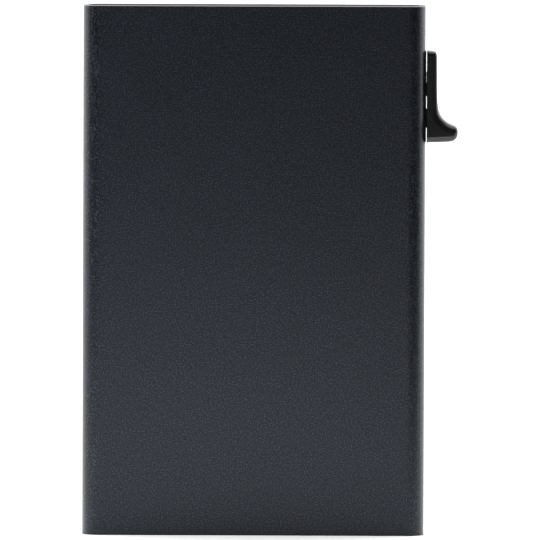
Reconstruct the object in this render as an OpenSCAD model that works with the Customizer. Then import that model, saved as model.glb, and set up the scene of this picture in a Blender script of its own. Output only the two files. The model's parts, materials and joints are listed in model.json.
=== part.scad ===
// Side-lever card wallet: a slim aluminium sleeve closed at the top and open at the bottom.
// A thumb lever on the right edge drives a stepped pusher, which fans the cards out of the mouth.
// The sleeve stands on its mouth: +Z runs from the mouth to the closed end, -Y is the front face,
// +X is the lever's side. The origin is at the centre of the whole wallet's footprint.

/* [Case] */
// Width of the sleeve
case_w = 62; // [61:0.5:70]
// Thickness of the sleeve, front to back
case_t = 9; // [8.6:0.1:12]
// Height of the sleeve, from the mouth to the closed end
case_h = 96; // [95.6:0.2:110]
// Thickness of the extruded wall
wall = 1; // [0.8:0.05:1.2]
// Radius of the four long outer corners
corner_r = 3.2; // [2.6:0.1:3.2]
// Small bevel round both rims
rim_bevel = 0.12; // [0.1:0.01:0.5]
// Width of the lever's slot, front to back
slot_w = 2.4; // [2.2:0.1:2.6]

/* [Cards] */
// Width of a bank card
card_w = 53.98; // [53.9:0.01:54.1]
// Length of a bank card
card_l = 85.6; // [85.4:0.1:85.8]
// Number of steps, one for each card
card_count = 5; // [3:1:6]

/* [End parts] */
// Thickness of the plug that closes the top
cap_t = 1.8; // [1.4:0.1:2.4]
// Thickness of the soft strip under the plug
bumper_t = 0.6; // [0.4:0.1:1]
// Height of the ring inside the mouth
bezel_h = 6; // [4:0.5:10]
// How far the ring sits inside the mouth
bezel_inset = 0.5; // [0.2:0.1:1.5]
// Free depth of the ring's window, front to back
bezel_gap = 6; // [5:0.1:6.2]
// Thickness of the felt strips behind the ring
pad_t = 0.35; // [0.2:0.05:0.4]
// Height of the felt strips
pad_h = 10; // [6:1:20]
// Width of the felt strips
pad_w = 36; // [20:1:48]

/* [Pusher] */
// Rise from one step to the next
step_rise = 1.6; // [1:0.1:1.7]
// Thickness of the pusher at its thinnest step
pusher_min_t = 1.4; // [1.2:0.1:2]
// Thickness of the steel slide arm
arm_t = 1; // [0.8:0.1:1.2]
// Width of the steel slide arm, front to back
arm_w = 3.8; // [3:0.1:4]
// Reach of the arm's foot over the pusher
foot_l = 22; // [16:1:30]
// Thickness of the bowed drag spring
spring_t = 0.12; // [0.1:0.01:0.2]

/* [Lever] */
// Travel of the lever towards the mouth
travel = 28; // [15:1:30]
// Length of the lever
lever_l = 16.6; // [14:0.05:20]
// Distance from the closed end down to the lever's top
lever_drop = 8.10; // [6:0.05:12]
// Distance that the hook's tip stands out from the sleeve
lever_reach = 5.9; // [5:0.1:8]
// Thickness of the lever's straight stem
stem_t = 1.9; // [1.4:0.01:2.2]
// Depth of the lever, front to back
lever_w = 4.6; // [4:0.1:8]
// Gap between the sleeve and the lever
lever_gap = 0.15; // [0.15:0.01:0.8]
// Radius of the thumb hollow above the hook
hollow_r = 4.2; // [3.6:0.1:5]
// Radius under the hook's tip
heel_r = 1.8; // [1:0.1:1.9]

/* [Hidden] */
$fn = 64;

fit = 0.05;           // gap round a part that is pressed or glued in
run = 0.2;            // gap beside a part that slides
past = 1;             // how far a cutter runs past the face it cuts
in_w = case_w - 2 * wall;
in_t = case_t - 2 * wall;
in_r = corner_r - wall;
case_x = -lever_reach / 2;   // the sleeve's middle, so the whole wallet is centred on the origin
side_x = case_w / 2;         // the sleeve's right side, from its own middle

// Heights inside the sleeve, from the closed end down
cap_z = case_h - cap_t;
bumper_z = cap_z - bumper_t;
pusher_top = bumper_z - 0.1;
stair_z = pusher_top - pusher_min_t;
bezel_top = bezel_inset + bezel_h;
rail_top = cap_z - fit;
rail_low = bezel_top + fit;

// Rails beside the cards
rail_in_x = card_w / 2 + 0.26;      // the face that the cards' edges run along
rail_out_x = in_w / 2 - fit;
arm_x = rail_in_x + run;            // the arm's face on the cards' side
channel_x = arm_x + arm_t + 0.25;   // the bottom of the arm's channel
runner_x = 28.3;                    // the end of the pusher's left runner
runner_w = 2.4;
groove_x = 28.9;                    // the bottom of the runner's groove

// Pusher
pusher_w = card_w - 0.4;
pusher_d = in_t - 2 * run;
step_d = pusher_d / card_count;
back_step_z = stair_z - (card_count - 1) * step_rise;
arm_seat_z = pusher_top - arm_t - 0.4;

// Lever: outline sizes are measured from the sleeve's side and from the lever's bottom
lever_z = case_h - lever_drop - lever_l;
stem_out = lever_gap + stem_t;
tip_angle = 255;                    // where the thumb hollow ends and the tip begins
hollow_c = [stem_out + hollow_r, 7.1];
tip_p = hollow_c + hollow_r * [cos(tip_angle), sin(tip_angle)];
tip_r = (lever_reach - tip_p[0]) / (1 + cos(tip_angle));
tip_c = tip_p + tip_r * [cos(tip_angle), sin(tip_angle)];
stem_top_r = 0.7;
top_edge_r = 0.55;                  // rounding over the lever's top, seen from the side
heel_edge_r = 1;                    // rounding under the lever's heel, seen from the side
post_w = slot_w - 2 * run;
upper_post = [8.3, 2.45];           // bottom of the post above the lever's bottom, and its height
lower_post = [2.6, 3.46];
land_t = 0.05;
land_h = 1.95;
screw_r = 0.6;
screw_head_r = 1.15;
screw_head_t = 0.55;
screw_l = 4;
post_low = lever_z + lower_post[0] - travel;    // where the lower post stops
slot_low = post_low - slot_w / 2;               // the slot's round end starts below the stop
slot_top = lever_z + upper_post[0] + upper_post[1] + 0.4;

// Rivets that hold the arm's foot on the pusher
rivet_r = 0.6;
rivet_head_r = 1.1;
rivet_head_t = 0.3;
rivet_l = 2.6;
rivet_x = [rail_in_x - 6, rail_in_x - 17];

// Draws in the sleeve's own coordinates, then shifts the result into the part's frame
module in_case() {
    translate([case_x, 0, 0]) children();
}

// Flat rounded rectangle, centred
module rounded_rect(w, t, r) {
    square([w - 2 * r, t], center = true);
    square([w, t - 2 * r], center = true);
    for (sx = [-1, 1], sy = [-1, 1])
        translate([sx * (w / 2 - r), sy * (t / 2 - r)]) circle(r);
}

// Rounded block that grows or shrinks evenly on every side over its height
module flared_block(w, t, r, h, grow) {
    for (sx = [-1, 1], sy = [-1, 1])
        translate([sx * (w / 2 - r), sy * (t / 2 - r), 0])
            cylinder(h = h, r1 = r, r2 = r + grow);
    rotate([90, 0, 0]) linear_extrude(height = t - 2 * r, center = true)
        polygon([[-w / 2, 0], [w / 2, 0], [w / 2 + grow, h], [-w / 2 - grow, h]]);
    rotate([90, 0, 90]) linear_extrude(height = w - 2 * r, center = true)
        polygon([[-t / 2, 0], [t / 2, 0], [t / 2 + grow, h], [-t / 2 - grow, h]]);
}

// Box given by its lowest and highest corners
module span(low, high) {
    translate(low) cube(high - low);
}

// Extruded sleeve with the lever's slot, which runs out at the closed end for assembly
module case_shell() in_case() color("#2b2d31") difference() {
    union() {
        flared_block(case_w - 2 * rim_bevel, case_t - 2 * rim_bevel, corner_r - rim_bevel,
            rim_bevel, rim_bevel);
        translate([0, 0, rim_bevel]) linear_extrude(height = case_h - 2 * rim_bevel)
            rounded_rect(case_w, case_t, corner_r);
        translate([0, 0, case_h - rim_bevel])
            flared_block(case_w, case_t, corner_r, rim_bevel, -rim_bevel);
    }
    translate([0, 0, -past]) linear_extrude(height = case_h + 2 * past)
        rounded_rect(in_w, in_t, in_r);
    span([in_w / 2 - past, -slot_w / 2, slot_low + slot_w / 2],
        [side_x + past, slot_w / 2, case_h + past]);
    translate([in_w / 2 - past, 0, slot_low + slot_w / 2])
        rotate([0, 90, 0]) cylinder(h = wall + 2 * past, d = slot_w);
}

// Plug that closes the top, with a tongue that fills the slot's open end
module end_cap() in_case() color("#1d1e20") {
    translate([0, 0, cap_z]) linear_extrude(height = cap_t - fit)
        rounded_rect(in_w - 2 * fit, in_t - 2 * fit, in_r - fit);
    span([in_w / 2 - wall, -slot_w / 2 + fit, cap_z],
        [side_x - 2 * fit, slot_w / 2 - fit, case_h - rim_bevel - fit]);
}

// Ring that lines the mouth, flared so that cards go in easily
module mouth_bezel() in_case() color("#1d1e20") difference() {
    translate([0, 0, bezel_inset]) linear_extrude(height = bezel_h)
        rounded_rect(in_w - 2 * fit, in_t - 2 * fit, in_r - fit);
    translate([0, 0, bezel_inset - past]) linear_extrude(height = bezel_h + 2 * past)
        rounded_rect(card_w + 0.6, bezel_gap, 1);
    translate([0, 0, bezel_inset]) flared_block(card_w + 1.2, bezel_gap + 0.6, 1.3, 0.3, -0.3);
}

// Outline of the space beside the cards, on the right
module side_space() {
    intersection() {
        rounded_rect(in_w - 2 * fit, in_t - 2 * fit, in_r - fit);
        translate([rail_in_x, -in_t / 2]) square([rail_out_x, in_t]);
    }
}

// Guide that keeps the cards' left edges and holds the pusher's runner
module left_rail() in_case() color("#34363a") mirror([1, 0, 0])
    translate([0, 0, rail_low]) linear_extrude(height = rail_top - rail_low) difference() {
        side_space();
        translate([0, -runner_w / 2 - run]) square([groove_x, runner_w + 2 * run]);
    }

// Guide with the slide arm's channel, a window for the lever's posts and a rib in the slot
module right_rail() in_case() color("#34363a") difference() {
    union() {
        translate([0, 0, rail_low]) linear_extrude(height = rail_top - rail_low) side_space();
        span([rail_out_x - wall, -slot_w / 2 + fit, slot_top],
            [side_x - 2 * fit, slot_w / 2 - fit, rail_top]);
    }
    span([0, -arm_w / 2 - run, rail_low - past],
        [channel_x, arm_w / 2 + run, rail_top + past]);
    span([0, -slot_w / 2, post_low - 0.4], [side_x + past, slot_w / 2, slot_top]);
}

// Felt strip on one wall; side is -1 at the front and 1 at the back
module grip_pad(side) {
    mid_y = side * (in_t - pad_t) / 2;
    translate([0, mid_y, bezel_top + 2 + pad_h / 2]) cube([pad_w, pad_t, pad_h], center = true);
}

module front_grip_pad() in_case() color("#55585c") grip_pad(-1);

module back_grip_pad() in_case() color("#55585c") grip_pad(1);

// Soft strip that the pusher comes back against
module end_bumper() in_case() color("#404246")
    span([-24, -2.4, bumper_z], [24, 2.4, cap_z]);

// Block with one step for each card: the back card is pushed the furthest
module stepped_pusher() in_case() color("#26272a") difference() {
    union() {
        for (i = [0:card_count - 1])
            span([-pusher_w / 2, -pusher_d / 2 + i * step_d, stair_z - i * step_rise],
                [pusher_w / 2, pusher_d / 2, pusher_top]);
        span([-runner_x, -runner_w / 2, back_step_z],
            [-pusher_w / 2 + past, runner_w / 2, pusher_top]);
    }
    span([rail_in_x - foot_l, -arm_w / 2 - fit, arm_seat_z],
        [pusher_w / 2 + past, arm_w / 2 + fit, pusher_top + past]);
    for (x = rivet_x)
        translate([x, 0, arm_seat_z - rivet_l]) cylinder(h = rivet_l + past, r = rivet_r + 0.02);
    // pockets that keep the moulding thin
    for (x = [-21, -13, -5])
        span([x - 3, step_d - pusher_d / 2 + 0.6, stair_z - step_rise + 1.2],
            [x + 3, pusher_d / 2 - 1, pusher_top + past]);
}

// Bent steel strip: its leg runs in the right rail and its foot lies on the pusher
module slide_arm() in_case() color("#9a9da2") difference() {
    union() {
        span([arm_x, -arm_w / 2, lever_z + 1.2], [arm_x + arm_t, arm_w / 2, arm_seat_z + arm_t]);
        span([rail_in_x - foot_l + fit, -arm_w / 2, arm_seat_z],
            [arm_x + arm_t, arm_w / 2, arm_seat_z + arm_t]);
    }
    for (post = [upper_post, lower_post])
        translate([arm_x, 0, lever_z + post[0] + post[1] / 2]) rotate([0, 90, 0]) {
            translate([0, 0, -past]) cylinder(h = arm_t + 2 * past, r = screw_r + 0.02);
            cylinder(h = screw_head_t, r1 = screw_head_r, r2 = screw_r + 0.02);
        }
    for (x = rivet_x)
        translate([x, 0, arm_seat_z - past]) cylinder(h = arm_t + 2 * past, r = rivet_r + 0.02);
}

// Two rivets through the arm's foot into the pusher
module pusher_rivets() in_case() color("#c3c5c8")
    for (x = rivet_x) translate([x, 0, arm_seat_z]) {
        translate([0, 0, -rivet_l + 0.1]) cylinder(h = rivet_l + arm_t - 0.1, r = rivet_r);
        translate([0, 0, arm_t]) cylinder(h = rivet_head_t, r = rivet_head_r);
    }

// Bowed leaf on the pusher's runner that rubs in the left rail and holds the slide where it is put
module drag_spring() in_case() color("#b8babd") {
    half_l = 3;
    rise = groove_x - 0.05 - runner_x;
    bow_r = (half_l * half_l + rise * rise) / (2 * rise);
    translate([0, 0, (back_step_z + pusher_top) / 2]) intersection() {
        translate([-runner_x - rise + bow_r, 0, 0]) rotate([90, 0, 0]) difference() {
            cylinder(h = 1.6, r = bow_r, center = true, $fn = 180);
            cylinder(h = 3, r = bow_r - spring_t, center = true, $fn = 180);
        }
        span([-runner_x - rise, -1, -half_l], [-runner_x, 1, half_l]);
    }
}

// Side view of the lever: a straight stem above a thumb hollow and a rounded hook
module lever_outline() {
    difference() {
        union() {
            translate([lever_gap, 0]) square([stem_t, lever_l - stem_top_r]);
            translate([lever_gap, 0]) square([stem_t - stem_top_r, lever_l]);
            translate([stem_out - stem_top_r, lever_l - stem_top_r]) circle(stem_top_r);
            translate([lever_gap, 0]) square([lever_reach - heel_r - lever_gap, heel_r]);
            translate([lever_gap, heel_r]) square([lever_reach - lever_gap, tip_c[1] - heel_r]);
            polygon([[lever_gap, heel_r], [tip_c[0], heel_r], tip_p, [stem_out, hollow_c[1]],
                [lever_gap, hollow_c[1]]]);
            translate([lever_reach - heel_r, heel_r]) circle(heel_r);
        }
        translate(hollow_c) circle(hollow_r);
    }
    translate(tip_c) circle(tip_r);
}

// Front view of the lever: rounded along its top and more so under its heel
module lever_face() {
    translate([-lever_w / 2, heel_edge_r])
        square([lever_w, lever_l - heel_edge_r - top_edge_r]);
    translate([-lever_w / 2 + heel_edge_r, 0]) square([lever_w - 2 * heel_edge_r, lever_l]);
    for (side = [-1, 1]) {
        translate([side * (lever_w / 2 - heel_edge_r), heel_edge_r]) circle(heel_edge_r);
        translate([side * (lever_w / 2 - top_edge_r), lever_l - top_edge_r]) circle(top_edge_r);
    }
    translate([-lever_w / 2 + top_edge_r, lever_l / 2])
        square([lever_w - 2 * top_edge_r, lever_l / 2]);
}

// Thumb lever with two posts that pass through the slot to the slide arm
module lever() in_case() color("#18191b") translate([side_x, 0, lever_z]) difference() {
    union() {
        intersection() {
            rotate([90, 0, 0]) linear_extrude(height = lever_w + past, center = true)
                lever_outline();
            rotate([90, 0, 90]) linear_extrude(height = lever_reach + past) lever_face();
        }
        for (post = [upper_post, lower_post])
            span([arm_x + arm_t - side_x, -post_w / 2, post[0]],
                [lever_gap + 0.2, post_w / 2, post[0] + post[1]]);
        span([lever_gap - land_t, -post_w / 2, upper_post[0] + upper_post[1]],
            [lever_gap + 0.2, post_w / 2, upper_post[0] + upper_post[1] + land_h]);
    }
    for (post = [upper_post, lower_post])
        translate([arm_x + arm_t - side_x - past, 0, post[0] + post[1] / 2])
            rotate([0, 90, 0]) cylinder(h = screw_l - arm_t + past + 0.1, r = screw_r + 0.02);
}

// Two countersunk screws from inside, through the slide arm into the lever's posts
module lever_screws() in_case() color("#8d9095")
    for (post = [upper_post, lower_post])
        translate([arm_x, 0, lever_z + post[0] + post[1] / 2]) rotate([0, 90, 0]) difference() {
            union() {
                cylinder(h = screw_head_t, r1 = screw_head_r - 0.02, r2 = screw_r);
                cylinder(h = screw_l, r = screw_r);
            }
            for (turn = [0, 90]) rotate([0, 0, turn])
                cube([1.3, 0.24, 0.5], center = true);
        }

case_shell();
end_cap();
mouth_bezel();
left_rail();
right_rail();
front_grip_pad();
back_grip_pad();
end_bumper();
stepped_pusher();
slide_arm();
pusher_rivets();
drag_spring();
lever();
lever_screws();
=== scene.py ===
"""Looks for the side-lever card wallet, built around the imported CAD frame.

The sleeve, its end parts and the slide keep their CAD shapes, with softened edges and procedural
materials. The thumb lever, the felt strips and the foam strip are modelled here in their place.
"""

import json
import math

import bmesh
import bpy
import numpy as np
from mathutils import Matrix, Vector, geometry, noise


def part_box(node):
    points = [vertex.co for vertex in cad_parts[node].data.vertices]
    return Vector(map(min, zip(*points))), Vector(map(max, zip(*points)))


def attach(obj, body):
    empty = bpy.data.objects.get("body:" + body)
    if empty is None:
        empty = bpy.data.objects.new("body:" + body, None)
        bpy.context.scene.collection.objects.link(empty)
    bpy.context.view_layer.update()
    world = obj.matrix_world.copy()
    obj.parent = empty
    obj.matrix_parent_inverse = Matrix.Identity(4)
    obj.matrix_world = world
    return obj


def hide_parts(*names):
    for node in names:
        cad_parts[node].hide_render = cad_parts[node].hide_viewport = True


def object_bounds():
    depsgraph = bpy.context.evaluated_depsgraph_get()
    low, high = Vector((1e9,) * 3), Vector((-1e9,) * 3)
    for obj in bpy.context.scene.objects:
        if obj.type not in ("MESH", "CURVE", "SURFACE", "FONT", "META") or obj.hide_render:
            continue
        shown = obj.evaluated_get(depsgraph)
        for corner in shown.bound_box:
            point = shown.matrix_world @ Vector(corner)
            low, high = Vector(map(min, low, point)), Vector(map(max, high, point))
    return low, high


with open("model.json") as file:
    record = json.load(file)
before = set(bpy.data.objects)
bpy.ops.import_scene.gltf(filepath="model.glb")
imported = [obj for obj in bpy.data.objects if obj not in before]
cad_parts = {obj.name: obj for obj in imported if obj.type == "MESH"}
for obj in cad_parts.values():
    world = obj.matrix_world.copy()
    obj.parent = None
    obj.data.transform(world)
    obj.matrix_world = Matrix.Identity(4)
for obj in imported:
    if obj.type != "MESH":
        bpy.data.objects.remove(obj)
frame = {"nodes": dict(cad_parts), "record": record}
cad_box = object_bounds()
nodes = frame["nodes"]
MM = 0.001

# ---------------------------------------------------------------- places read from the frame
lever_low, lever_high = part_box("lever")
whole_low, whole_high = cad_box
MIDDLE = (whole_low + whole_high) / 2
SIDE_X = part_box("case_shell")[1].x      # the sleeve's right side


# ---------------------------------------------------------------- node helpers
class Nodes:
    """A small builder for one shader tree."""

    def __init__(self, tree):
        self.tree = tree
        tree.nodes.clear()

    def add(self, kind, **settings):
        made = self.tree.nodes.new(kind)
        for key, value in settings.items():
            setattr(made, key, value)
        return made

    def join(self, source, target):
        self.tree.links.new(source, target)

    def value(self, socket, thing):
        """Sets a socket to a constant, or links it to an output."""
        if isinstance(thing, bpy.types.NodeSocket):
            self.join(thing, socket)
        else:
            socket.default_value = thing

    def noise(self, coords, scale, detail=2.0, rough=0.5, stretch=None, seed=0.0):
        """Noise from 0 to 1; scale is in features for each metre."""
        if stretch is not None or seed:
            shift = self.add("ShaderNodeMapping")
            self.join(coords, shift.inputs["Vector"])
            shift.inputs["Scale"].default_value = stretch or (1, 1, 1)
            shift.inputs["Location"].default_value = (seed, seed * 0.7, -seed * 0.4)
            coords = shift.outputs["Vector"]
        made = self.add("ShaderNodeTexNoise")
        self.join(coords, made.inputs["Vector"])
        made.inputs["Scale"].default_value = scale
        made.inputs["Detail"].default_value = detail
        made.inputs["Roughness"].default_value = rough
        return made.outputs["Fac"]

    def spread(self, source, low, high, to_low=0.0, to_high=1.0, smooth=False):
        """Maps low..high to to_low..to_high, clamped."""
        made = self.add("ShaderNodeMapRange")
        made.interpolation_type = "SMOOTHSTEP" if smooth else "LINEAR"
        self.join(source, made.inputs["Value"])
        made.inputs["From Min"].default_value = low
        made.inputs["From Max"].default_value = high
        made.inputs["To Min"].default_value = to_low
        made.inputs["To Max"].default_value = to_high
        return made.outputs["Result"]

    def math(self, kind, a, b=0.0):
        made = self.add("ShaderNodeMath", operation=kind)
        self.value(made.inputs[0], a)
        self.value(made.inputs[1], b)
        return made.outputs[0]

    def mix(self, amount, a, b):
        made = self.add("ShaderNodeMix", data_type="RGBA")
        self.value(made.inputs[0], amount)
        self.value(made.inputs[6], a)
        self.value(made.inputs[7], b)
        return made.outputs[2]

    def bump(self, height, distance, strength=1.0, after=None):
        made = self.add("ShaderNodeBump")
        self.join(height, made.inputs["Height"])
        made.inputs["Distance"].default_value = distance
        made.inputs["Strength"].default_value = strength
        if after is not None:
            self.join(after, made.inputs["Normal"])
        return made.outputs["Normal"]


def new_material(name):
    material = bpy.data.materials.new(name)
    material.use_nodes = True
    tree = Nodes(material.node_tree)
    shader = tree.add("ShaderNodeBsdfPrincipled")
    out = tree.add("ShaderNodeOutputMaterial")
    tree.join(shader.outputs[0], out.inputs["Surface"])
    coords = tree.add("ShaderNodeTexCoord").outputs["Object"]
    return material, tree, shader, coords


def grey(level, tint=(1.0, 1.0, 1.0)):
    return (level * tint[0], level * tint[1], level * tint[2], 1.0)


# ---------------------------------------------------------------- materials
DYE_TINT = (0.80, 0.945, 1.28)      # the black dye leans to blue
GLOSS_TINT = (0.815, 0.875, 1.0, 1.0)
FELT_TINT = (0.97, 0.99, 1.06)
STEEL_TINT = (0.99, 1.0, 1.01)


def anodised_black():
    """Bead-blasted aluminium, dyed black: fine bright grains painted into the colour as painted
    glints, and slight clouds in the dye.
    """
    material, t, shader, coords = new_material("anodised_black")
    grain = t.noise(coords, 4000, detail=1.0, rough=0.5)
    fine = t.noise(coords, 9000, detail=2.0, rough=0.5, seed=3.1)
    cloud = t.noise(coords, 55, detail=3.0, rough=0.55, seed=7.7)
    dye = t.mix(t.spread(cloud, 0.3, 0.7), grey(0.0003, DYE_TINT), grey(0.0009, DYE_TINT))
    # Painted glints: bright grains painted into the colour stand in for the glints of the blasted
    # surface.
    painted_glints = t.spread(grain, 0.49, 0.80)
    colour = t.mix(painted_glints, dye, grey(0.048, DYE_TINT))
    t.join(colour, shader.inputs["Base Color"])
    grain_rough = t.spread(grain, 0.3, 0.7, 0.276, 0.286)
    cloud_rough = t.spread(cloud, 0.3, 0.7, 0.0, 0.010)
    t.join(t.math("ADD", grain_rough, cloud_rough), shader.inputs["Roughness"])
    shader.inputs["IOR"].default_value = 1.425
    shader.inputs["Specular Tint"].default_value = GLOSS_TINT
    blast = t.bump(fine, 0.0015 * MM, 1.0)
    t.join(t.bump(grain, 0.0018 * MM, 1.0, after=blast), shader.inputs["Normal"])
    return material


def moulded(name, level, roughness, tint=(1, 1, 1), texture=0.012, ior=1.49):
    """Moulded plastic: a spark-eroded texture, faint flow marks and a few fine scuffs.

    level is its grey, roughness a range, and texture the depth of the spark marks in mm."""
    material, t, shader, coords = new_material(name)
    spark = t.noise(coords, 3200, detail=3.0, rough=0.6)
    flow = t.noise(coords, 260, detail=3.0, rough=0.5, stretch=(1.0, 1.0, 0.25), seed=2.3)
    scuff = t.noise(coords, 700, detail=4.0, rough=0.65, stretch=(1.0, 1.0, 0.06), seed=5.9)
    scuffed = t.spread(scuff, 0.64, 0.8)
    colour = t.mix(t.spread(flow, 0.3, 0.7), grey(level * 0.88, tint), grey(level * 1.12, tint))
    colour = t.mix(t.math("MULTIPLY", scuffed, 0.25), colour, grey(level * 2.2, tint))
    t.join(colour, shader.inputs["Base Color"])
    rough = t.spread(spark, 0.25, 0.75, *roughness)
    rough = t.math("ADD", rough, t.math("MULTIPLY", scuffed, 0.06))
    t.join(rough, shader.inputs["Roughness"])
    shader.inputs["IOR"].default_value = ior
    soft = t.bump(flow, 0.01 * MM, 0.4)
    t.join(t.bump(spark, texture * MM, 0.8, after=soft), shader.inputs["Normal"])
    return material


def brushed_steel():
    """Satin stainless strip, brushed along its length."""
    material, t, shader, coords = new_material("brushed_steel")
    lines = t.noise(coords, 5200, detail=3.0, rough=0.6, stretch=(1.0, 1.0, 0.03))
    cloud = t.noise(coords, 300, detail=2.0, seed=4.0)
    colour = t.mix(lines, grey(0.46, STEEL_TINT), grey(0.6, STEEL_TINT))
    t.join(colour, shader.inputs["Base Color"])
    shader.inputs["Metallic"].default_value = 1.0
    line_rough = t.spread(lines, 0.3, 0.7, 0.26, 0.38)
    cloud_rough = t.spread(cloud, 0.3, 0.7, -0.03, 0.04)
    t.join(t.math("ADD", line_rough, cloud_rough), shader.inputs["Roughness"])
    t.join(t.bump(lines, 0.004 * MM, 0.8), shader.inputs["Normal"])
    return material


def felt_material():
    """Short pressed felt: matted fibres, darker between them, with a soft sheen."""
    material, t, shader, coords = new_material("felt")
    fibres = t.noise(coords, 2400, detail=4.0, rough=0.7, stretch=(1.0, 1.0, 0.35))
    across = t.noise(coords, 2600, detail=4.0, rough=0.7, stretch=(0.35, 1.0, 1.0), seed=6.0)
    matt = t.math("MAXIMUM", fibres, across)
    cloud = t.noise(coords, 420, detail=3.0, seed=1.7)
    colour = t.mix(t.spread(matt, 0.4, 0.75), grey(0.045, FELT_TINT), grey(0.13, FELT_TINT))
    colour = t.mix(t.spread(cloud, 0.35, 0.65, 0.0, 0.3), colour, grey(0.07))
    t.join(colour, shader.inputs["Base Color"])
    shader.inputs["Roughness"].default_value = 0.95
    shader.inputs["Sheen Weight"].default_value = 0.5
    shader.inputs["Sheen Roughness"].default_value = 0.5
    t.join(t.bump(matt, 0.06 * MM, 0.9), shader.inputs["Normal"])
    return material


def foam_material():
    """Closed-cell foam: small round pores in a matt skin."""
    material, t, shader, coords = new_material("soft_foam")
    cells = t.add("ShaderNodeTexVoronoi", feature="F1")
    t.join(coords, cells.inputs["Vector"])
    cells.inputs["Scale"].default_value = 2600
    pores = t.spread(cells.outputs["Distance"], 0.08, 0.45)
    cloud = t.noise(coords, 500, detail=2.0)
    colour = t.mix(pores, grey(0.02), grey(0.055, (0.97, 0.99, 1.04)))
    colour = t.mix(t.spread(cloud, 0.3, 0.7, 0.0, 0.25), colour, grey(0.04))
    t.join(colour, shader.inputs["Base Color"])
    t.join(t.spread(pores, 0.0, 1.0, 0.95, 0.8), shader.inputs["Roughness"])
    t.join(t.bump(pores, 0.05 * MM, 0.8), shader.inputs["Normal"])
    return material


finishes = {
    "anodised_black": anodised_black(),
    "black_plastic": moulded("black_plastic", 0.010, (0.78, 0.90), ior=1.24),
    "lever_plastic": moulded("lever_plastic", 0.006, (0.15, 0.21), texture=0.003, ior=1.50),
    "guide_plastic": moulded("guide_plastic", 0.030, (0.40, 0.52), tint=(0.97, 0.99, 1.03)),
    "felt": felt_material(),
    "soft_foam": foam_material(),
    "steel": brushed_steel(),
}


# ---------------------------------------------------------------- CAD nodes that stay
def all_smooth_group():
    """A geometry node group that shades every face smooth, so that the weighted normals apply."""
    group = bpy.data.node_groups.new("shade_all_smooth", "GeometryNodeTree")
    group.interface.new_socket("Geometry", in_out="INPUT", socket_type="NodeSocketGeometry")
    group.interface.new_socket("Geometry", in_out="OUTPUT", socket_type="NodeSocketGeometry")
    start = group.nodes.new("NodeGroupInput")
    end = group.nodes.new("NodeGroupOutput")
    smooth = group.nodes.new("GeometryNodeSetShadeSmooth")
    group.links.new(start.outputs[0], smooth.inputs["Geometry"])
    group.links.new(smooth.outputs[0], end.inputs[0])
    return group


SMOOTH_GROUP = all_smooth_group()
WELD_GAP = 0.0005 * MM              # corners nearer than this are one corner
FLAT_ANGLE = math.radians(0.6)      # faces that meet at less than this are one flat
SHARP_ANGLE = math.radians(40)      # edges that turn by more than this are rounded


def soften(piece, width):
    """Rounds a CAD node's sharp edges by width, without touching its own mesh."""
    weld = piece.modifiers.new("join_corners", "WELD")
    weld.merge_threshold = WELD_GAP
    flat = piece.modifiers.new("merge_flats", "DECIMATE")
    flat.decimate_type = "DISSOLVE"
    flat.angle_limit = FLAT_ANGLE
    bevel = piece.modifiers.new("soft_edges", "BEVEL")
    bevel.width = width
    bevel.segments = 3
    bevel.limit_method = "ANGLE"
    bevel.angle_limit = SHARP_ANGLE
    bevel.use_clamp_overlap = True
    bevel.miter_outer = "MITER_ARC"
    shade = piece.modifiers.new("shade_smooth", "NODES")
    shade.node_group = SMOOTH_GROUP
    normals = piece.modifiers.new("weighted_normals", "WEIGHTED_NORMAL")
    normals.keep_sharp = False
    normals.weight = 100


slot_of = {row["node"]: row["material_slot"] for row in frame["record"]["subparts"]}
for name, piece in nodes.items():
    for index in range(len(piece.data.materials)):
        piece.data.materials[index] = finishes[slot_of[name]]

# How far each node's sharp edges are rounded
EDGE = {
    "case_shell": 0.10 * MM,
    "end_cap": 0.12 * MM,
    "mouth_bezel": 0.12 * MM,
    "left_rail": 0.12 * MM,
    "right_rail": 0.10 * MM,
    "stepped_pusher": 0.10 * MM,
    "slide_arm": 0.08 * MM,
    "pusher_rivets": 0.06 * MM,
    "lever_screws": 0.04 * MM,
    "drag_spring": 0.02 * MM,
}
for name, width in EDGE.items():
    soften(nodes[name], width)


# ---------------------------------------------------------------- pieces modelled here
def spline(points, per_span):
    """Catmull-Rom curve through (u, v, r) points, from the first to the last."""
    padded = [points[0]] + list(points) + [points[-1]]
    out = []
    for i in range(1, len(padded) - 2):
        p0, p1, p2, p3 = (Vector(p) for p in padded[i - 1:i + 3])
        for k in range(per_span):
            t = k / per_span
            out.append(0.5 * (
                2 * p1 + (p2 - p0) * t + (2 * p0 - 5 * p1 + 4 * p2 - p3) * t ** 2
                + (3 * p1 - p0 - 3 * p2 + p3) * t ** 3
            ))
    out.append(Vector(points[-1]))
    return out


def evenly(path, step):
    """Evenly spaced (u, v, r) points along a closed path, its sharp corners kept."""
    out = []
    for a, b in zip(path, path[1:] + path[:1]):
        length = (b - a).xy.length
        parts = max(1, round(length / step))
        out += [a.lerp(b, k / parts) for k in range(parts)]
    kept = [out[0]]
    for p in out[1:]:
        if (p - kept[-1]).xy.length > step * 0.45:
            kept.append(p)
    return kept


ROUND_TURNS = (12, 24, 36)      # degrees round the edge at which a plate gets a ring of points
BUMPS = 2.3                     # a plate's unevenness, in bumps for each mm
ON_RIM = 1e-4                   # a point this near to the rim, in mm, is on it


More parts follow.
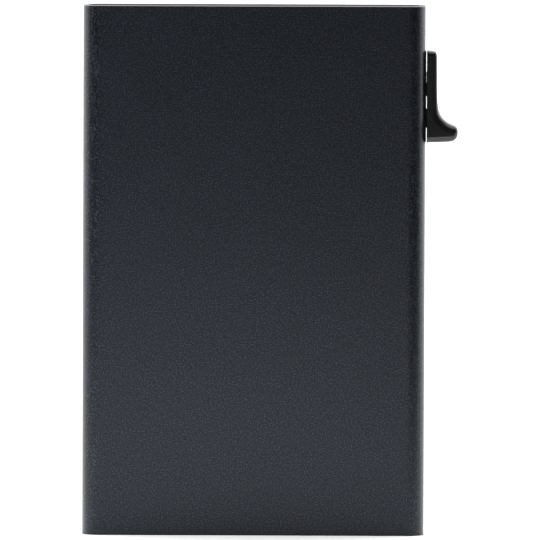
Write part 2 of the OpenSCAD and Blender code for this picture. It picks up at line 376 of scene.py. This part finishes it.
def plate(name, outline, half, step, place, rough=0.0):
    """A closed plate over an outline of (u, v, r) points that run counter-clockwise, in mm.

    Its front and back are flat at +-half and round off to the sides with each point's radius r.
    step is the size of its faces. place turns (u, depth, v) into the frame, and rough is the
    height of a fine unevenness."""
    rim = np.array([p[:] for p in outline])
    count = len(rim)
    along = np.roll(rim[:, :2], -1, 0) - np.roll(rim[:, :2], 1, 0)
    along /= np.linalg.norm(along, axis=1)[:, None]
    inward = np.stack([-along[:, 1], along[:, 0]], 1)
    flat = [rim[:, :2]]
    for turn in ROUND_TURNS:
        inset = rim[:, 2] * (1 - math.cos(math.radians(turn)))
        flat.append(rim[:, :2] + inward * inset[:, None])
    low, high = rim[:, :2].min(0), rim[:, :2].max(0)
    grid = np.array([
        (u, v)
        for u in np.arange(low[0] + step / 2, high[0], step)
        for v in np.arange(low[1] + step / 2, high[1], step)
    ])
    gaps = np.linalg.norm(grid[:, None, :] - rim[None, :, :2], axis=2)
    nearest = gaps.argmin(1)
    rows = np.arange(len(grid))
    inner_edge = rim[nearest, 2] * (1 - math.cos(math.radians(ROUND_TURNS[-1]))) + step * 0.55
    side = ((grid - rim[nearest, :2]) * inward[nearest]).sum(1)
    grid = grid[(gaps[rows, nearest] > inner_edge) & (side > 0)]
    points = np.concatenate(flat + [grid])
    loops = [(i, (i + 1) % count) for i in range(count)]
    rings = [(r * count + i, r * count + j) for r in range(len(flat)) for i, j in loops]
    made = geometry.delaunay_2d_cdt([Vector(p) for p in points], rings, [list(range(count))], 1, 1e-6)
    verts, faces = made[0], made[2]
    uv = np.array([v[:] for v in verts])
    gaps = np.linalg.norm(uv[:, None, :] - rim[None, :, :2], axis=2)
    part = np.clip(1 - gaps / rim[None, :, 2], 0, 1)
    drop = (rim[None, :, 2] * (1 - np.sqrt(1 - part ** 2))).max(1)
    if rough:
        drop += np.array([
            rough * (0.5 + 0.5 * noise.noise(Vector((u * BUMPS, v * BUMPS, half)))) for u, v in uv
        ])
    first = {}
    for index, vert in enumerate(verts):
        near = int(gaps[index].argmin())
        if gaps[index, near] < ON_RIM:
            first[near] = index
    bm = bmesh.new()
    sides = []
    for sign in (-1, 1):
        ring = [bm.verts.new(place(u, sign * (half - d), v)) for (u, v), d in zip(uv, drop)]
        for face in faces:
            corners = [ring[i] for i in (face if sign < 0 else reversed(face))]
            bm.faces.new(corners)
        sides.append(ring)
    for i, j in loops:
        if i in first and j in first:
            a, b = first[i], first[j]
            bm.faces.new((sides[0][a], sides[0][b], sides[1][b], sides[1][a]))
    bmesh.ops.remove_doubles(bm, verts=bm.verts, dist=1e-7)
    bmesh.ops.recalc_face_normals(bm, faces=bm.faces)
    mesh = bpy.data.meshes.new(name)
    bm.to_mesh(mesh)
    bm.free()
    made = bpy.data.objects.new(name, mesh)
    bpy.context.scene.collection.objects.link(made)
    for polygon in mesh.polygons:
        polygon.use_smooth = True
    return made


def add_block(piece, low, high, bevel):
    """Adds a box with rounded edges to a piece's mesh, between two corners in the frame."""
    low, high = Vector(low), Vector(high)
    bm = bmesh.new()
    made = bmesh.ops.create_cube(bm, size=1.0)
    for v in made["verts"]:
        v.co = Vector((low[i] + (v.co[i] + 0.5) * (high[i] - low[i]) for i in range(3)))
    bmesh.ops.bevel(bm, geom=bm.edges[:], offset=bevel, segments=3, profile=0.5, affect="EDGES")
    for face in bm.faces:
        face.smooth = True
    bm.from_mesh(piece.data)
    bm.to_mesh(piece.data)
    bm.free()


def finished(piece, body, slot_name, *stands_for):
    piece.data.materials.append(finishes[slot_name])
    normals = piece.modifiers.new("weighted_normals", "WEIGHTED_NORMAL")
    normals.weight = 60
    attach(piece, body)
    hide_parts(*stands_for)
    return piece


# Thumb lever: heights are in mm up from the CAD lever's lowest point, and reaches in mm out from
# the sleeve's side. The outline's third number is the radius of the lever's front and back edges.
LEVER_H = 16.6
LEVER_GAP = 0.24
HALF_LEVER = (lever_high.y - lever_low.y) / 2 / MM
LEVER_PATH = [
    (LEVER_GAP, -0.07, 0.30), (0.60, -0.06, 0.95), (2.00, -0.04, 1.05), (3.10, 0.00, 1.10),
    (4.20, 0.05, 1.10), (4.75, 0.14, 1.10), (5.20, 0.32, 1.10), (5.55, 0.63, 1.15),
    (5.80, 1.10, 1.15), (5.90, 1.70, 1.10), (5.88, 2.28, 1.10), (5.68, 2.71, 1.15),
    (5.25, 3.02, 1.30), (4.70, 3.26, 1.45), (3.95, 3.71, 1.65), (3.20, 4.39, 1.70),
    (2.68, 5.20, 1.60), (2.36, 6.22, 1.20), (2.21, 7.32, 0.95), (2.14, 8.90, 0.80),
    (2.11, 10.5, 0.75), (2.10, 12.6, 0.75), (2.09, 14.7, 0.75), (2.07, 15.7, 0.75),
    (1.98, 16.17, 0.80), (1.70, 16.45, 0.85), (1.16, 16.57, 0.90), (0.60, 16.60, 0.85),
    (LEVER_GAP, LEVER_H, 0.20),
]
GAP_SIDE = [(LEVER_GAP, 16.4, 0.08), (LEVER_GAP, 0.3, 0.08)]
POST_HALF = 1.0                     # half the posts' width, front to back
POST_ROOT = 0.42                    # how far out the posts reach into the lever
POSTS = ((8.3, 10.75), (2.6, 6.06))     # each post's lowest and highest point
TAB_REACH, TAB = 0.17, (10.65, 12.7)    # a tab above the upper post that stops short of the sleeve
SHOE_REACH, SHOE = (0.01, 0.13), (0.1, 16.5)
SHOE_HALF = 1.9


def place_lever(u, depth, v):
    x = min(SIDE_X + u * MM, lever_high.x)
    return (x, depth * MM, lever_low.z + v / LEVER_H * (lever_high.z - lever_low.z))


def lever_block(inner_x, outer_x, half, heights, bevel):
    """Adds a rounded block to the thumb lever, between two x places in the frame."""
    low, high = (lever_low.z + height * MM for height in heights)
    add_block(lever, (inner_x, -half * MM, low), (outer_x, half * MM, high), bevel * MM)


lever_outline = spline(LEVER_PATH, 6) + [Vector(point) for point in GAP_SIDE]
lever = plate("thumb_lever", evenly(lever_outline, 0.14), HALF_LEVER, 0.16, place_lever)
POST_OUT = SIDE_X + POST_ROOT * MM
for heights in POSTS:
    lever_block(lever_low.x, POST_OUT, POST_HALF, heights, 0.08)
lever_block(SIDE_X + TAB_REACH * MM, POST_OUT, POST_HALF, TAB, 0.08)
lever_block(SIDE_X + SHOE_REACH[0] * MM, SIDE_X + SHOE_REACH[1] * MM, SHOE_HALF, SHOE, 0.03)
finished(lever, "slider", "lever_plastic", "lever")


def rounded_rectangle(width, height, corner, edge):
    """Counter-clockwise (u, v, r) path of a rounded rectangle about the origin."""
    path = []
    for turn, (cu, cv) in enumerate(((1, -1), (1, 1), (-1, 1), (-1, -1))):
        for k in range(7):
            a = math.radians(-90 + 90 * turn + 15 * k)
            path.append(Vector((
                cu * (width / 2 - corner) + corner * math.cos(a),
                cv * (height / 2 - corner) + corner * math.sin(a),
                edge,
            )))
    return path


STRIP_ROUGH = 0.03      # height of the soft strips' unevenness, in mm


def strip(name, node, axes, corner, edge, step):
    """A soft strip that fills a CAD node's box; axes are the frame axes of width, depth, height.

    corner and edge are its radii and step is the size of its faces, in mm."""
    low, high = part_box(node)
    middle, size = (low + high) / 2, (high - low) / MM
    wide, deep, tall = axes
    outline = rounded_rectangle(size[wide], size[tall], corner, edge)

    def place(u, depth, v):
        at = middle.copy()
        at[wide] += u * MM
        at[deep] += depth * MM
        at[tall] += v * MM
        return at

    return plate(name, evenly(outline, step * 0.9), size[deep] / 2, step, place, STRIP_ROUGH)


for name, node in (("felt_strip_front", "front_grip_pad"), ("felt_strip_back", "back_grip_pad")):
    felt = strip(name, node, axes=(0, 1, 2), corner=1.0, edge=0.12, step=0.45)
    finished(felt, "sleeve", "felt", node)
foam = strip("foam_stop_strip", "end_bumper", axes=(0, 2, 1), corner=0.8, edge=0.2, step=0.4)
finished(foam, "sleeve", "soft_foam", "end_bumper")


# ---------------------------------------------------------------- floor, world, lights
FLOOR_HALF = 20.0               # half the floor's width, in metres
FLOOR_DROP = 0.02 * MM          # how far the floor lies under the wallet
# The light floor holds painted light: its reflectance is painted bright in a pool ahead, painted dark
# beyond, and a little brighter to the left.
FLOOR_FADE = (-0.66, -0.12)     # the pool of light fades out between these places ahead, in metres
FLOOR_NARROW = (7.0, 3.5)       # how much sooner it ends away from the middle, and to the right
FLOOR_SIDE = (1.08, 1.06)       # its share to the left and to the right
SIDE_REACH = 0.16               # how far to the sides those shares are reached, in metres
FLOOR_REFLECT = (0.03, 0.85)    # reflectance beyond the pool and in it
SKY = 6.0                       # radiance of the white tent beside and above
SKY_FRONT = 0.03                # radiance on the camera's side
SKY_TOP = 3.0                   # radiance straight above
SKY_BEHIND = 0.24               # share of it that is left low down behind
DARK_AXIS = Vector((0.04, -1.0, 0.10)).normalized()
TOP_AXIS = Vector((0, 0.30, 0.95)).normalized()
TENT_TURN = (-0.80, 0.50)       # cosines to DARK_AXIS between which the tent fades to the front
BEHIND_TURN = (0.80, 0.98)      # cosines to +Y between which it fades behind
TOP_TURN = (0.50, 0.94)         # cosines to TOP_AXIS between which the light above comes up


def floor_piece(name, height):
    """A wide square of floor with its own diffuse material, and the nodes that colour it."""
    mesh = bpy.data.meshes.new(name)
    corners = [(x * FLOOR_HALF, y * FLOOR_HALF, 0) for x, y in ((-1, -1), (1, -1), (1, 1), (-1, 1))]
    mesh.from_pydata(corners, [], [(0, 1, 2, 3)])
    made = bpy.data.objects.new(name, mesh)
    made.location.z = height
    bpy.context.scene.collection.objects.link(made)
    material = bpy.data.materials.new(name + "_paper")
    material.use_nodes = True
    mesh.materials.append(material)
    t = Nodes(material.node_tree)
    coords = t.add("ShaderNodeTexCoord").outputs["Object"]
    tone = t.add("ShaderNodeCombineColor")
    matt = t.add("ShaderNodeBsdfDiffuse")
    t.join(tone.outputs[0], matt.inputs["Color"])
    t.join(matt.outputs[0], t.add("ShaderNodeOutputMaterial").inputs["Surface"])
    return made, t, coords, tone.inputs


def seen_floor():
    """The plain pale floor that the wallet stands on, as the camera sees it."""
    made, t, coords, channels = floor_piece("floor", whole_low.z - FLOOR_DROP)
    made.visible_diffuse = False
    made.visible_glossy = False
    made.visible_transmission = False
    made.visible_shadow = False
    sheet = t.spread(t.noise(coords, 400, detail=3.0), 0.3, 0.7, 0.83, FLOOR_REFLECT[1])
    for channel in range(3):
        t.join(sheet, channels[channel])


def light_floor():
    """The floor's light on the wallet: a painted pool of light ahead, painted dark beyond it, and a
    little more painted light to the left, in the reflectance of a floor that the camera doesn't see.
    """
    made, t, coords, channels = floor_piece("light_floor", whole_low.z - 1.5 * FLOOR_DROP)
    made.visible_camera = False
    split = t.add("ShaderNodeSeparateXYZ")
    t.join(coords, split.inputs[0])
    x = split.outputs["X"]
    away = t.math("MULTIPLY", t.math("ABSOLUTE", x), FLOOR_NARROW[0])
    away = t.math("ADD", away, t.math("MULTIPLY", x, FLOOR_NARROW[1]))
    ahead = t.math("MULTIPLY", split.outputs["Y"], t.math("ADD", away, 1.0))
    # Painted pool of light: bright reflectance ahead, ending sooner to the sides and to the right,
    # painted dark further on.
    pool = t.spread(ahead, *FLOOR_FADE, *FLOOR_REFLECT, smooth=True)
    # Painted light from the left: the pool is painted a little brighter to the left than to the
    # right.
    side = t.spread(x, -SIDE_REACH, SIDE_REACH, *FLOOR_SIDE)
    shade = t.math("MULTIPLY", pool, side)
    for channel in range(3):
        t.join(shade, channels[channel])


seen_floor()
light_floor()
world = bpy.data.worlds.new("studio")
bpy.context.scene.world = world
world.use_nodes = True
w = Nodes(world.node_tree)
direction = w.add("ShaderNodeTexCoord").outputs["Generated"]


def towards(axis):
    made = w.add("ShaderNodeVectorMath", operation="DOT_PRODUCT")
    w.join(direction, made.inputs[0])
    made.inputs[1].default_value = axis
    return made.outputs["Value"]


tent = w.spread(towards(DARK_AXIS), *TENT_TURN, SKY, SKY_FRONT, smooth=True)
behind = w.spread(towards((0, 1, 0)), *BEHIND_TURN, 1.0, SKY_BEHIND, smooth=True)
overhead = w.spread(towards(TOP_AXIS), *TOP_TURN, 0.0, SKY_TOP, smooth=True)
back = w.add("ShaderNodeBackground")
w.join(w.math("MAXIMUM", w.math("MULTIPLY", tent, behind), overhead), back.inputs["Strength"])
w.join(back.outputs[0], w.add("ShaderNodeOutputWorld").inputs["Surface"])


def add_light(name, kind, power, place):
    """A lamp that neither the camera nor a reflection sees."""
    data = bpy.data.lights.new(name, kind)
    data.energy = power
    made = bpy.data.objects.new(name, data)
    made.location = place
    made.visible_camera = False
    made.visible_glossy = False
    bpy.context.scene.collection.objects.link(made)
    return made


def area_light(name, power, place, aim, size):
    """A rectangular lamp at a place, turned towards its aim."""
    made = add_light(name, "AREA", power, place)
    made.data.shape = "RECTANGLE"
    made.data.size, made.data.size_y = size
    made.rotation_euler = (Vector(aim) - Vector(place)).to_track_quat("-Z", "Y").to_euler()


area_light("left_card", 0.28, place=(-0.13, -0.09, 0.08), aim=(-0.02, 0, 0.07), size=(0.06, 0.25))
area_light("front_top", 2.4, place=(0, -0.55, 0.75), aim=(0, -0.10, 0), size=(0.40, 0.30))

# The floor ahead of the wallet is lit from straight above by a soft-edged cone
floor_pool = add_light("floor_pool", "SPOT", 34.0, place=(-0.02, -0.42, 0.60))
floor_pool.data.spot_size = math.radians(58)
floor_pool.data.spot_blend = 0.8
floor_pool.data.shadow_soft_size = 0.05

# ---------------------------------------------------------------- camera
CAMERA_DISTANCE = 3.0           # from the wallet's middle, in metres
CAMERA_RISE = math.radians(3.5)
CAMERA_ROLL = math.radians(0.21)
FIELD = 97.9 * MM               # width of the view at the wallet
CAMERA_DROP = 0.07 * MM         # how far its aim is below the wallet's middle
camera_data = bpy.data.cameras.new("camera")
camera_data.sensor_width = 36.0
camera_data.lens = camera_data.sensor_width * CAMERA_DISTANCE / FIELD
camera_data.clip_start = 0.05
camera_data.clip_end = 50
camera = bpy.data.objects.new("camera", camera_data)
bpy.context.scene.collection.objects.link(camera)
away = Vector((0, -math.cos(CAMERA_RISE), math.sin(CAMERA_RISE)))
camera.location = MIDDLE + away * CAMERA_DISTANCE + Vector((0, 0, -CAMERA_DROP))
camera.rotation_mode = "QUATERNION"
roll = Matrix.Rotation(CAMERA_ROLL, 3, "Z").to_quaternion()
camera.rotation_quaternion = (-away).to_track_quat("-Z", "Y") @ roll
bpy.context.scene.camera = camera

scene = bpy.context.scene
scene.view_settings.view_transform = "Standard"
scene.view_settings.look = "None"
